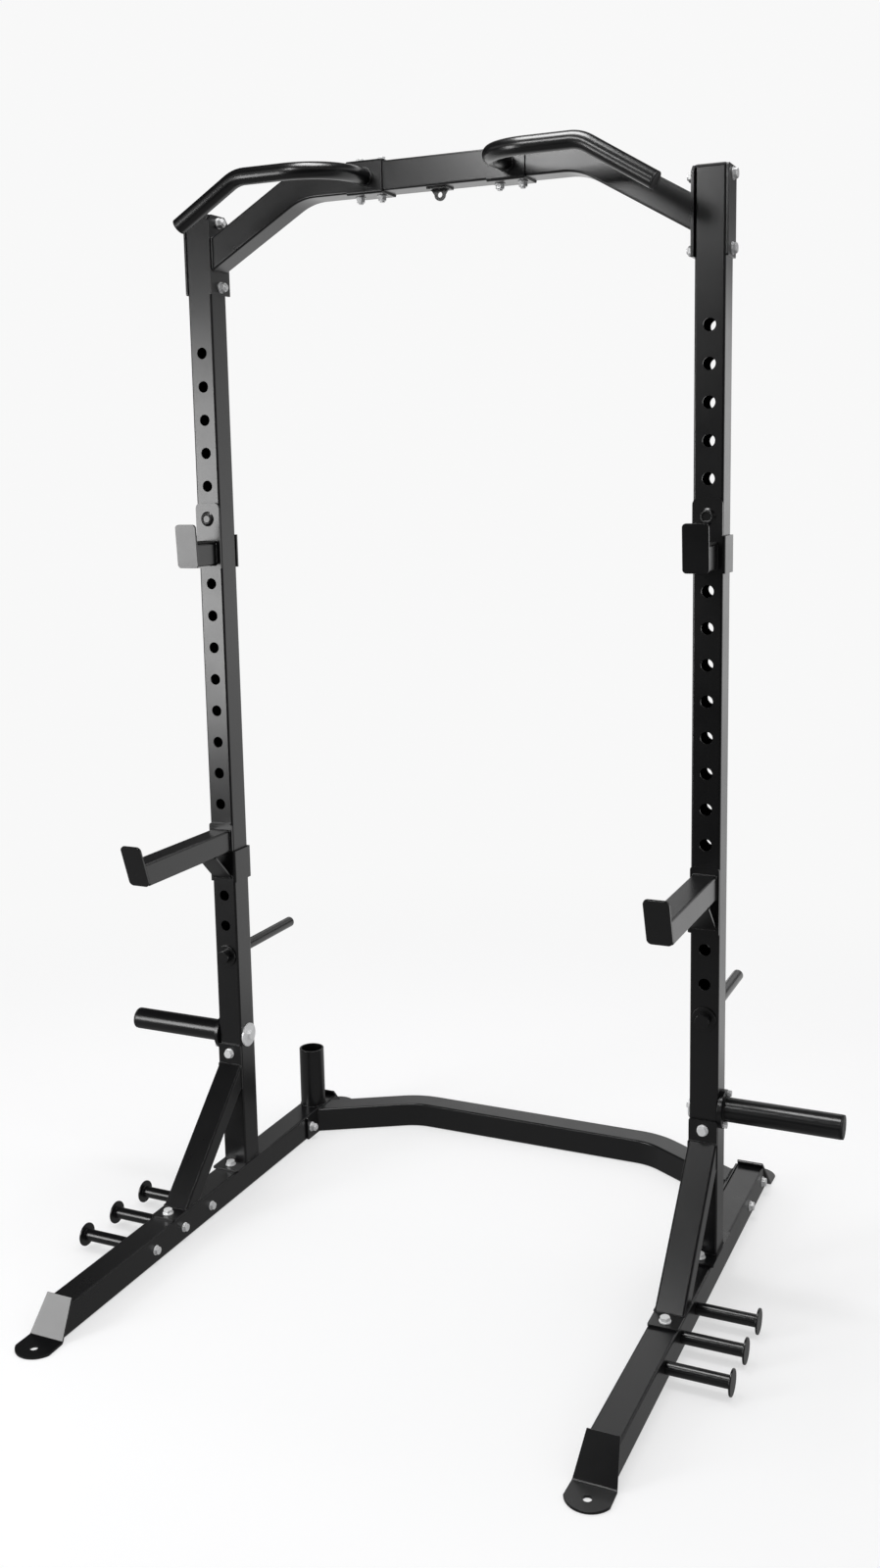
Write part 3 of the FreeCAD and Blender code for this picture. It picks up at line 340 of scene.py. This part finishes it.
def finish_of(name, colour, sheen, peel_size, peel_depth, unevenness, metallic=0.0,
              specular=0.5, coat=0.0):
    """A material that takes its colour, roughness and fine relief from the uneven surface."""
    paint = bpy.data.materials.new(name)
    paint.use_nodes = True
    nodes = paint.node_tree.nodes
    shader = nodes["Principled BSDF"]
    shader.inputs["Metallic"].default_value = metallic
    shader.inputs["Specular IOR Level"].default_value = specular
    shader.inputs["Coat Weight"].default_value = coat
    shader.inputs["Coat Roughness"].default_value = 0.2
    group = nodes.new("ShaderNodeGroup")
    group.node_tree = surface
    group.inputs["Colour"].default_value = (*colour, 1)
    group.inputs["Sheen"].default_value = sheen
    group.inputs["Peel Size"].default_value = peel_size
    group.inputs["Peel Depth"].default_value = peel_depth
    group.inputs["Unevenness"].default_value = unevenness
    paint.node_tree.links.new(group.outputs["Colour"], shader.inputs["Base Color"])
    paint.node_tree.links.new(group.outputs["Roughness"], shader.inputs["Roughness"])
    paint.node_tree.links.new(group.outputs["Normal"], shader.inputs["Normal"])
    return paint


def dress(paint, *names):
    """Gives CAD nodes their finish."""
    for name in names:
        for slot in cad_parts[name].material_slots:
            slot.material = paint


powder_coat = finish_of("satin_black_powder_coat", colour=(0.0040, 0.0040, 0.0045), sheen=0.30,
                        peel_size=900.0, peel_depth=0.00003, unevenness=0.16, coat=0.35)
dress(powder_coat, "base_rail_left", "base_rail_right")

# Feet: 5 mm steel strip, bent over each mitred rail end and flat on the floor, with one anchor
# hole. The sheared edges are rounded by tumbling and by the powder coat.


def softened(node, name, body, slot, paint, edge=0.0007):
    """A copy of a CAD piece with its sharp edges rounded, which stands for that piece."""
    piece = bpy.data.objects.new(name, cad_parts[node].data.copy())
    scene.collection.objects.link(piece)
    bpy.ops.object.select_all(action="DESELECT")
    piece.select_set(True)
    bpy.context.view_layer.objects.active = piece
    if piece.data.has_custom_normals:
        bpy.ops.mesh.customdata_custom_splitnormals_clear()
    bpy.ops.object.mode_set(mode="EDIT")
    bpy.ops.mesh.select_all(action="SELECT")
    bpy.ops.mesh.remove_doubles(threshold=0.00001)
    bpy.ops.mesh.dissolve_limited(angle_limit=math.radians(1.0))
    bpy.ops.mesh.normals_make_consistent(inside=False)
    bpy.ops.object.mode_set(mode="OBJECT")
    rounding = piece.modifiers.new("rounding", "BEVEL")
    rounding.width = edge
    rounding.segments = 2
    rounding.limit_method = "ANGLE"
    rounding.angle_limit = math.radians(40)
    rounding.use_clamp_overlap = True
    bpy.ops.object.modifier_apply(modifier="rounding")
    bpy.ops.object.shade_smooth_by_angle(angle=math.radians(35))
    flats = piece.modifiers.new("flats", "WEIGHTED_NORMAL")
    flats.weight = 90
    flats.keep_sharp = True
    bpy.ops.object.modifier_apply(modifier="flats")
    piece.data.materials.clear()
    piece.data.materials.append(paint)
    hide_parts(node)
    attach(piece, body)
    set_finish(piece, slot)
    return piece


for node in ("front_feet", "rear_feet"):
    softened(node, node + "_coated", "frame", "powder_coated_steel", powder_coat)

# Rear crossmember: one 60 mm tube, cranked forward at both ends, with a 5 mm plate welded on
# each end. The weld is a run of small overlapping ripples under the powder coat.
ripple_pitch = 0.0018
ripple_length = 0.8
corner_share = 0.99
end_plate = 0.005
crossmember_cut_middle = (0.48237, 0.0315)
crossmember_cut_size = (0.0693, 0.057)


def weld(name, body, centre, across, upward, width, height, corner=0.0045, thick=0.0022):
    """A weld bead round a rectangle, or round a circle where the corner is half its width."""
    bpy.ops.object.select_all(action="DESELECT")
    bpy.ops.mesh.primitive_plane_add(size=1, location=(0, 0, 0))
    path = bpy.context.object
    bpy.ops.object.mode_set(mode="EDIT")
    bpy.ops.transform.resize(value=(width, height, 1))
    bpy.ops.mesh.bevel(offset=corner * corner_share, segments=4, affect="VERTICES")
    bpy.ops.mesh.delete(type="ONLY_FACE")
    bpy.ops.object.mode_set(mode="OBJECT")
    across = Vector(across).normalized()
    upward = Vector(upward).normalized()
    facing = across.cross(upward)
    path.matrix_world = Matrix((across, upward, facing)).transposed().to_4x4()
    path.location = centre
    bpy.ops.object.transform_apply(location=True, rotation=True, scale=True)
    bpy.ops.object.convert(target="CURVE")
    bpy.ops.object.select_all(action="DESELECT")
    bpy.ops.mesh.primitive_uv_sphere_add(segments=8, ring_count=5, radius=thick,
                                         location=(0, 0, 0))
    bead = bpy.context.object
    bead.name = name
    bpy.ops.object.mode_set(mode="EDIT")
    bpy.ops.transform.resize(value=(ripple_length, 1.0, 1.0))
    bpy.ops.object.mode_set(mode="OBJECT")
    row = bead.modifiers.new("row", "ARRAY")
    row.fit_type = "FIT_CURVE"
    row.curve = path
    row.use_relative_offset = False
    row.use_constant_offset = True
    row.constant_offset_displace = (ripple_pitch, 0, 0)
    follow = bead.modifiers.new("follow", "CURVE")
    follow.object = path
    bpy.ops.object.modifier_apply(modifier="row")
    bpy.ops.object.modifier_apply(modifier="follow")
    bpy.data.objects.remove(path)
    bpy.ops.object.shade_smooth()
    bead.data.materials.append(powder_coat)
    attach(bead, body)
    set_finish(bead, "powder_coated_steel")
    return bead


def left_copy(piece, name, body):
    """The left-hand copy of a right-hand piece, with its own mesh."""
    copy = bpy.data.objects.new(name, piece.data.copy())
    scene.collection.objects.link(copy)
    copy.data.transform(Matrix.Scale(-1, 4, Vector((1, 0, 0))))
    copy.data.flip_normals()
    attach(copy, body)
    if "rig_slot" in piece:
        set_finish(copy, piece["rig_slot"])
    return copy


dress(powder_coat, "rear_crossmember")
softened("crossmember_end_plates", "crossmember_end_plates_coated", "frame",
         "powder_coated_steel", powder_coat)
plate_low, plate_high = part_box("crossmember_end_plates")
crossmember_weld = weld("crossmember_weld_right", "frame",
                        (plate_high.x - end_plate, *crossmember_cut_middle), (0, 1, 0),
                        (0, 0, 1), *crossmember_cut_size)
left_copy(crossmember_weld, "crossmember_weld_left", "frame")

# Bar post: a short round steel tube that takes one end of a bar. It is open at the top, with
# its rim turned smooth, and stands welded on the left rail.
softened("bar_post", "bar_post_coated", "frame", "powder_coated_steel", powder_coat, edge=0.0012)
post_low, post_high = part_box("bar_post")
post_middle = (post_low + post_high) / 2
post_width = post_high.x - post_low.x
weld("bar_post_weld", "frame", (post_middle.x, post_middle.y, post_low.z), (1, 0, 0), (0, 1, 0),
     post_width, post_width, corner=post_width / 2, thick=0.0018)

# Rail band pegs: 25 mm steel bar on the outer side of each rail, with a round disc welded on
# the end of each to keep the band on.
peg_places = (-0.0455, -0.1535, -0.2615)
peg_width = 0.025
peg_height = 0.03
disc_thickness = 0.004
for node in ("rail_pegs", "rail_peg_discs"):
    softened(node, node + "_coated", "frame", "powder_coated_steel", powder_coat, edge=0.001)
disc_low, disc_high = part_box("rail_peg_discs")
for number, peg_y in enumerate(peg_places):
    peg_weld = weld("rail_peg_weld_right_%d" % number, "frame",
                    (disc_high.x - disc_thickness, peg_y, peg_height), (0, 1, 0), (0, 0, 1),
                    peg_width, peg_width, corner=peg_width / 2, thick=0.0016)
    left_copy(peg_weld, "rail_peg_weld_left_%d" % number, "frame")

# Uprights: 60 mm square steel tube with a column of punched holes, welded on a 5 mm base plate
# that is bolted to the rail. The powder coat hardly reaches the inside, which stays dull.
tube = 0.06
dull_bore = finish_of("dull_tube_inside", colour=(0.004, 0.004, 0.004), sheen=0.95,
                      peel_size=400.0, peel_depth=0.0001, unevenness=0.1, specular=0.05)
upright_low, upright_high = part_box("upright_right")
upright_middle = (upright_low + upright_high) / 2
half_bore = 0.0276
for side in ("left", "right"):
    upright = softened("upright_" + side, "upright_%s_coated" % side, "frame",
                       "powder_coated_steel", powder_coat, edge=0.0006)
    upright.data.materials.append(dull_bore)
    for face in upright.data.polygons:
        beside = abs(abs(face.center.x) - upright_middle.x)
        deep = abs(face.center.y - upright_middle.y)
        if max(beside, deep) < half_bore:
            face.material_index = 1
softened("upright_base_plates", "upright_base_plates_coated", "frame", "powder_coated_steel",
         powder_coat)
foot_weld = weld("upright_weld_right", "frame", (upright_middle.x, upright_middle.y, upright_low.z),
                 (1, 0, 0), (0, 1, 0), tube, tube)
left_copy(foot_weld, "upright_weld_left", "frame")

# Upright caps: squares of black moulded plastic with a low crowned top and a sunk border. Their
# ribs are pressed into the tops of the uprights.


def pick_faces(piece, wanted):
    """Selects the faces whose centre and normal pass a test, and opens the piece for editing."""
    bpy.ops.object.mode_set(mode="EDIT")
    bpy.ops.mesh.select_mode(type="FACE")
    bpy.ops.mesh.select_all(action="DESELECT")
    bpy.ops.object.mode_set(mode="OBJECT")
    for face in piece.data.polygons:
        face.select = wanted(face.center, face.normal)
    bpy.ops.object.mode_set(mode="EDIT")


def settle(piece, name, paint, body, slot, edge):
    """Rounds a modelled piece's edges, leaves its place in its mesh and gives it its finish."""
    bpy.ops.object.transform_apply(location=True, rotation=True, scale=True)
    piece.name = name
    rounding = piece.modifiers.new("rounding", "BEVEL")
    rounding.width = edge
    rounding.segments = 3
    rounding.limit_method = "ANGLE"
    rounding.angle_limit = math.radians(30)
    bpy.ops.object.modifier_apply(modifier="rounding")
    bpy.ops.object.shade_smooth_by_angle(angle=math.radians(40))
    flats = piece.modifiers.new("flats", "WEIGHTED_NORMAL")
    flats.weight = 90
    flats.keep_sharp = True
    bpy.ops.object.modifier_apply(modifier="flats")
    piece.data.materials.append(paint)
    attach(piece, body)
    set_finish(piece, slot)


moulded_plastic = finish_of("moulded_black_plastic", colour=(0.011, 0.011, 0.012), sheen=0.48,
                            peel_size=1500.0, peel_depth=0.00005, unevenness=0.10, specular=0.4)
cap_low, cap_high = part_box("upright_caps")
cap_bottom = upright_high.z
cap_top = cap_high.z
cap_border = 0.004
cap_border_rise = 0.0014
cap_crown = 0.012
cap_crown_rise = 0.0010
bpy.ops.object.select_all(action="DESELECT")
bpy.ops.mesh.primitive_cube_add(size=1, scale=(tube, tube, cap_top - cap_bottom),
                                location=(upright_middle.x, upright_middle.y,
                                          (cap_bottom + cap_top) / 2))
upright_cap = bpy.context.object
bpy.ops.object.transform_apply(location=False, rotation=False, scale=True)
pick_faces(upright_cap, lambda middle, normal: normal.z > 0.9)
bpy.ops.mesh.inset(thickness=cap_border)
bpy.ops.transform.translate(value=(0, 0, cap_border_rise))
bpy.ops.mesh.inset(thickness=cap_crown)
bpy.ops.transform.translate(value=(0, 0, cap_crown_rise))
bpy.ops.object.mode_set(mode="OBJECT")
settle(upright_cap, "upright_cap_right", moulded_plastic, "frame", "moulded_plastic", edge=0.0014)
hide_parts("upright_caps")
left_copy(upright_cap, "upright_cap_left", "frame")

# Braces: rectangular steel tube, 60 by 40 mm, that slants from the rail up to the upright. Each
# end is cut at 45 degrees and welded on a plate, and the plates are bolted down.
dress(powder_coat, "brace_left", "brace_right")
softened("brace_plates", "brace_plates_coated", "frame", "powder_coated_steel", powder_coat)
brace_low, brace_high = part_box("brace_right")
brace_middle_x = (brace_low.x + brace_high.x) / 2
brace_cut = 0.0566
brace_top_weld = weld("brace_top_weld_right", "frame",
                      (brace_middle_x, brace_high.y, brace_high.z - brace_cut / 2),
                      (1, 0, 0), (0, 0, 1), tube, brace_cut)
brace_foot_weld = weld("brace_foot_weld_right", "frame",
                       (brace_middle_x, brace_low.y + brace_cut / 2, brace_low.z),
                       (1, 0, 0), (0, 1, 0), tube, brace_cut)
left_copy(brace_top_weld, "brace_top_weld_left", "frame")
left_copy(brace_foot_weld, "brace_foot_weld_left", "frame")

# Plate horns: 50 mm round steel tube welded to a round flange, which a long bolt and two small
# ones hold on the upright. A moulded cap with a shallow dish closes the outer end.
horn_width = 0.05
horn_cap_radius = 0.0245
horn_cap_rim = 0.0030
horn_cap_sink = 0.0008
horn_cap_step = 0.0012
horn_cap_lift = 0.0006
dress(powder_coat, "plate_horn_left", "plate_horn_right")
softened("plate_horn_flanges", "plate_horn_flanges_coated", "frame", "powder_coated_steel",
         powder_coat, edge=0.001)
horn_low, horn_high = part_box("plate_horn_right")
horn_middle = (horn_low + horn_high) / 2
horn_weld = weld("plate_horn_weld_right", "frame", (horn_low.x, horn_middle.y, horn_middle.z),
                 (0, 1, 0), (0, 0, 1), horn_width, horn_width, corner=horn_width / 2)
left_copy(horn_weld, "plate_horn_weld_left", "frame")
horn_cap_low, horn_cap_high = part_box("plate_horn_caps")
bpy.ops.object.select_all(action="DESELECT")
bpy.ops.mesh.primitive_cylinder_add(vertices=48, radius=horn_cap_radius,
                                    depth=horn_cap_high.x - horn_high.x,
                                    location=((horn_cap_high.x + horn_high.x) / 2,
                                              horn_middle.y, horn_middle.z),
                                    rotation=(0, math.radians(90), 0))
horn_cap = bpy.context.object
bpy.ops.object.transform_apply(location=False, rotation=True, scale=True)
pick_faces(horn_cap, lambda middle, normal: normal.x > 0.9)
bpy.ops.mesh.inset(thickness=horn_cap_rim)
bpy.ops.transform.translate(value=(-horn_cap_sink, 0, 0))
bpy.ops.mesh.inset(thickness=horn_cap_step)
bpy.ops.transform.translate(value=(horn_cap_lift, 0, 0))
bpy.ops.object.mode_set(mode="OBJECT")
settle(horn_cap, "plate_horn_cap_right", moulded_plastic, "frame", "moulded_plastic", edge=0.0010)
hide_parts("plate_horn_caps")
left_copy(horn_cap, "plate_horn_cap_left", "frame")

# Band pegs: 25 mm steel bar with a turned head in front, pushed through the lowest hole of each
# upright, with a loose washer under the head.
for side in ("left", "right"):
    softened("band_peg_" + side, "band_peg_%s_coated" % side, "frame", "powder_coated_steel",
             powder_coat, edge=0.0022)
softened("band_peg_washers", "band_peg_washers_coated", "frame", "powder_coated_steel",
         powder_coat, edge=0.001)

# Top arms: 60 mm tube bent down to the uprights, with a 6 mm plate welded on the lower end and
# a backing plate on the outer side of the upright.
dress(powder_coat, "top_arm_left", "top_arm_right")
softened("top_arm_plates", "top_arm_plates_coated", "frame", "powder_coated_steel", powder_coat)
arm_low, arm_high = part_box("top_arm_right")
arm_slope = math.radians(30)
arm_cut = tube / math.cos(arm_slope)
arm_weld = weld("top_arm_weld_right", "frame",
                (arm_high.x, upright_middle.y, arm_low.z + arm_cut / 2), (0, 1, 0), (0, 0, 1),
                tube, arm_cut)
left_copy(arm_weld, "top_arm_weld_left", "frame")

# Middle of the beam: the centre tube, the two square sleeves over its joints and the drilled
# lug welded under it.
dress(powder_coat, "centre_tube")
softened("centre_sleeves", "centre_sleeves_coated", "frame", "powder_coated_steel", powder_coat,
         edge=0.0009)
softened("centre_lug", "centre_lug_coated", "frame", "powder_coated_steel", powder_coat,
         edge=0.0005)
lug_low, lug_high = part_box("centre_lug")
lug_plate = 0.004
lug_plate_size = (0.045, 0.036)
lug_tab_size = (0.038, 0.005)
weld("centre_lug_weld", "frame", (0, upright_middle.y, lug_high.z), (1, 0, 0), (0, 1, 0),
     *lug_plate_size, corner=0.002, thick=0.0016)
weld("centre_lug_tab_weld", "frame", (0, upright_middle.y, lug_high.z - lug_plate), (1, 0, 0),
     (0, 1, 0), *lug_tab_size, corner=0.002, thick=0.0014)

# Pull-up handles: 34 mm round tube bent out of the sleeve's front and down at the free end,
# welded at the root, with a moulded cap in the end.
dress(powder_coat, "pull_up_handle_left", "pull_up_handle_right")
tube_low, tube_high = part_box("centre_tube")
beam_z = (tube_low.z + tube_high.z) / 2
sleeve_low, sleeve_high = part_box("centre_sleeves")
handle_root_x = 0.157
handle_width = 0.034
handle_reach = 0.187
handle_dip = 0.007
handle_slope_run = 0.140
handle_end_x = 0.507
handle_cap_depth = 0.004
handle_cap_rim = 0.004
handle_cap_rise = 0.0012
handle_cap_crown = 0.005
handle_cap_crown_rise = 0.0006
root_weld = weld("handle_weld_right", "frame", (handle_root_x, sleeve_low.y, beam_z), (1, 0, 0),
                 (0, 0, 1), handle_width, handle_width, corner=handle_width / 2)
left_copy(root_weld, "handle_weld_left", "frame")
droop = math.radians(31)
handle_end = Vector((handle_end_x, upright_middle.y - handle_reach,
                     beam_z - handle_dip - handle_slope_run * math.tan(droop)))
handle_axis = Vector((math.cos(droop), 0, -math.sin(droop)))
bpy.ops.object.select_all(action="DESELECT")
bpy.ops.mesh.primitive_cylinder_add(vertices=40, radius=handle_width / 2, depth=handle_cap_depth,
                                    location=handle_end + handle_axis * handle_cap_depth / 2,
                                    rotation=handle_axis.to_track_quat("Z", "Y").to_euler())
handle_cap = bpy.context.object
bpy.ops.object.transform_apply(location=True, rotation=True, scale=True)
pick_faces(handle_cap, lambda middle, normal: normal.dot(handle_axis) > 0.9)
bpy.ops.mesh.inset(thickness=handle_cap_rim)
bpy.ops.transform.translate(value=handle_axis * handle_cap_rise)
bpy.ops.mesh.inset(thickness=handle_cap_crown)
bpy.ops.transform.translate(value=handle_axis * handle_cap_crown_rise)
bpy.ops.object.mode_set(mode="OBJECT")
settle(handle_cap, "handle_cap_right", moulded_plastic, "frame", "moulded_plastic", edge=0.0012)
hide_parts("handle_caps")
left_copy(handle_cap, "handle_cap_left", "frame")

# Bar hooks: a bent 5 mm bracket with a pin, a square cradle tube and a leaning lip welded to it,
# and a rubber strip that the bar lies on.
rubber = finish_of("black_rubber", colour=(0.016, 0.016, 0.016), sheen=0.66, peel_size=700.0,
                   peel_depth=0.00012, unevenness=0.12, specular=0.3)
hook_lean = math.radians(3.6)
cradle_width = 0.04
cradle_height = 0.05
pin_weld_width = 0.0216
pin_weld_depth = 0.0012
for side, body in (("left", "left_hook"), ("right", "right_hook")):
    for node in ("hook_bracket_", "hook_lip_"):
        softened(node + side, node + side + "_coated", body, "powder_coated_steel", powder_coat)
    softened("hook_pad_" + side, "hook_pad_%s_moulded" % side, body, "rubber_pad", rubber,
             edge=0.0013)
    dress(powder_coat, "hook_pin_" + side, "hook_cradle_" + side)
cradle_low, cradle_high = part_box("hook_cradle_right")
cradle_middle = (cradle_low + cradle_high) / 2
hook_weld = weld("hook_weld_right", "right_hook",
                 (cradle_middle.x, cradle_high.y, cradle_middle.z), (1, 0, 0), (0, 0, 1),
                 cradle_width, cradle_height)
left_copy(hook_weld, "hook_weld_left", "left_hook")
pin_low, pin_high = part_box("hook_pin_right")
pin_middle = (pin_low + pin_high) / 2
pin_weld = weld("hook_pin_weld_right", "right_hook",
                (pin_middle.x, pin_low.y + pin_weld_depth, pin_middle.z), (1, 0, 0), (0, 0, 1),
                pin_weld_width, pin_weld_width, corner=pin_weld_width / 2, thick=0.0034)
left_copy(pin_weld, "hook_pin_weld_left", "left_hook")
lip_weld = weld("hook_lip_weld_right", "right_hook",
                (cradle_middle.x, cradle_low.y + cradle_height / 2 * math.sin(hook_lean),
                 cradle_middle.z),
                (1, 0, 0), (0, -math.sin(hook_lean), math.cos(hook_lean)),
                cradle_width, cradle_height)
left_copy(lip_weld, "hook_lip_weld_left", "left_hook")

# Spotter arms: a bent bracket with a pin, a 50 mm square arm with a leaning tip plate, and a
# slanting strap that props the arm from the foot of the bracket.
arm_side = 0.05
strap_end = 0.007
for side, body in (("left", "left_spotter"), ("right", "right_spotter")):
    for node in ("spotter_bracket_", "spotter_tip_", "spotter_strap_"):
        softened(node + side, node + side + "_coated", body, "powder_coated_steel", powder_coat)
    dress(powder_coat, "spotter_pin_" + side, "spotter_arm_" + side)
arm_box_low, arm_box_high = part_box("spotter_arm_right")
arm_box_middle = (arm_box_low + arm_box_high) / 2
arm_root_weld = weld("spotter_weld_right", "right_spotter",
                     (arm_box_middle.x, arm_box_high.y, arm_box_middle.z), (1, 0, 0),
                     (0, 0, 1), arm_side, arm_side)
left_copy(arm_root_weld, "spotter_weld_left", "left_spotter")
strap_low, strap_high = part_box("spotter_strap_right")
strap_foot_weld = weld("spotter_strap_weld_right", "right_spotter",
                       (arm_box_middle.x, strap_high.y, strap_low.z + strap_end / 2),
                       (1, 0, 0), (0, 0, 1), arm_side, strap_end, corner=0.002, thick=0.0018)
left_copy(strap_foot_weld, "spotter_strap_weld_left", "left_spotter")
strap_head_weld = weld("spotter_strap_head_weld_right", "right_spotter",
                       (arm_box_middle.x, strap_low.y + strap_end / 2, strap_high.z),
                       (1, 0, 0), (0, 1, 0), arm_side, strap_end, corner=0.002, thick=0.0018)
left_copy(strap_head_weld, "spotter_strap_head_weld_left", "left_spotter")

# Bolts, nuts and washers: turned and stamped steel, zinc plated bright after making, so that
# their edges are a little rounded. The weld nuts are hidden in the tubes.
bright_zinc = finish_of("bright_zinc_plate", colour=(0.90, 0.905, 0.91), sheen=0.38,
                        peel_size=500.0, peel_depth=0.00003, unevenness=0.22, metallic=0.3)
for node in ("base_plate_bolts", "frame_through_bolts", "lock_nuts", "bolt_washers",
             "rail_peg_bolts", "plate_horn_bolts", "plate_horn_washers"):
    softened(node, node + "_plated", "frame", "zinc_plated_steel", bright_zinc, edge=0.0005)
dress(bright_zinc, "weld_nuts")
